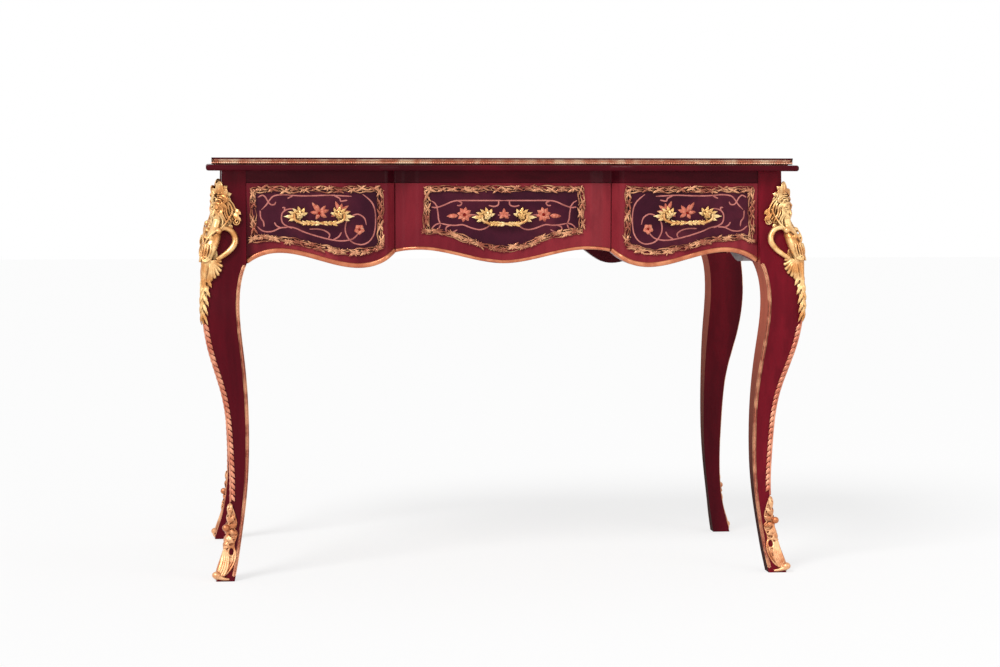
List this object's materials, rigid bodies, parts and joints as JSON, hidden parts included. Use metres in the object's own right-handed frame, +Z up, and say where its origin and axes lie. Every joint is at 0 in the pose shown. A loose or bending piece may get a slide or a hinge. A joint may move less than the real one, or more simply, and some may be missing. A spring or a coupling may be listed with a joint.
{
  "type": "bureau plat writing desk",
  "caption": "Flat-topped writing desk on cabriole legs with a serpentine drawer front, floral marquetry and gilt mounts; drawers slide and bail handles swing.",
  "frame": {"origin": "on the floor under the middle of the desk", "axes": "+X along the desk to the right as seen from the drawers, +Y to the back, +Z up"},
  "size_m": [1.131, 0.631, 0.78],
  "materials": {
    "veneer_leg": "glossy lacquered red veneer",
    "veneer_case": "glossy lacquered red veneer",
    "veneer_drawer": "glossy lacquered red veneer, a little lighter",
    "marquetry": "lacquered dark veneer with pale vines and flowers",
    "gilt_brass": "cast, gilded and burnished",
    "copper_gilt_trim": "reddish gilt",
    "leather": "dark red hide, gold tooled border",
    "drawer_wood": "plain waxed timber",
    "steel": "plain screws and nuts"
  },
  "bodies": {
    "root": {"back_panel": "veneer_case", "carcass_frames": "gilt_brass", "carcass_marquetry": "marquetry", "carcass_trims": "copper_gilt_trim", "drawer_divider_left": "drawer_wood", "drawer_divider_right": "drawer_wood", "drawer_kickers": "drawer_wood", "drawer_runners": "drawer_wood", "drawer_stops": "drawer_wood", "espagnolette_back_left": "gilt_brass", "espagnolette_back_right": "gilt_brass", "espagnolette_front_left": "gilt_brass", "espagnolette_front_right": "gilt_brass", "front_rail": "veneer_case", "leather_top": "leather", "leg_arris_strips": "gilt_brass", "leg_back_left": "veneer_leg", "leg_back_right": "veneer_leg", "leg_chutes": "gilt_brass", "leg_front_left": "veneer_leg", "leg_front_right": "veneer_leg", "sabots": "gilt_brass", "side_panel_left": "veneer_case", "side_panel_right": "veneer_case", "top_board": "veneer_case", "top_buttons": "drawer_wood", "top_gilt_edge": "gilt_brass", "top_moulding": "veneer_case", "top_screws": "steel"},
    "drawer_left": {"drawer_left_back": "drawer_wood", "drawer_left_bottom": "drawer_wood", "drawer_left_frame": "gilt_brass", "drawer_left_front": "veneer_drawer", "drawer_left_marquetry": "marquetry", "drawer_left_sides": "drawer_wood", "drawer_left_trim": "copper_gilt_trim", "handle_left_mounts": "gilt_brass", "handle_left_nuts": "steel"},
    "bail_left": {"handle_left_bail": "gilt_brass"},
    "drawer_centre": {"drawer_centre_back": "drawer_wood", "drawer_centre_bottom": "drawer_wood", "drawer_centre_frame": "gilt_brass", "drawer_centre_front": "veneer_drawer", "drawer_centre_marquetry": "marquetry", "drawer_centre_sides": "drawer_wood", "drawer_centre_trim": "copper_gilt_trim", "handle_centre_mounts": "gilt_brass", "handle_centre_nuts": "steel"},
    "bail_centre": {"handle_centre_bail": "gilt_brass"},
    "drawer_right": {"drawer_right_back": "drawer_wood", "drawer_right_bottom": "drawer_wood", "drawer_right_frame": "gilt_brass", "drawer_right_front": "veneer_drawer", "drawer_right_marquetry": "marquetry", "drawer_right_sides": "drawer_wood", "drawer_right_trim": "copper_gilt_trim", "handle_right_mounts": "gilt_brass", "handle_right_nuts": "steel"},
    "bail_right": {"handle_right_bail": "gilt_brass"}
  },
  "joints": [
    {"name": "drawer_left_slide", "type": "slide", "parent": "root", "child": "drawer_left", "axis": [0, -1, 0], "range_m": [0, 0.32]},
    {"name": "drawer_centre_slide", "type": "slide", "parent": "root", "child": "drawer_centre", "axis": [0, -1, 0], "range_m": [0, 0.32]},
    {"name": "drawer_right_slide", "type": "slide", "parent": "root", "child": "drawer_right", "axis": [0, -1, 0], "range_m": [0, 0.32]},
    {"name": "bail_left_swing", "type": "hinge", "parent": "drawer_left", "child": "bail_left", "pos_m": [-0.3435, -0.2805, 0.674], "axis": [-1, 0, 0], "range_deg": [0, 85]},
    {"name": "bail_centre_swing", "type": "hinge", "parent": "drawer_centre", "child": "bail_centre", "pos_m": [0, -0.2695, 0.672], "axis": [-1, 0, 0], "range_deg": [0, 85]},
    {"name": "bail_right_swing", "type": "hinge", "parent": "drawer_right", "child": "bail_right", "pos_m": [0.3435, -0.2805, 0.674], "axis": [-1, 0, 0], "range_deg": [0, 85]}
  ]
}
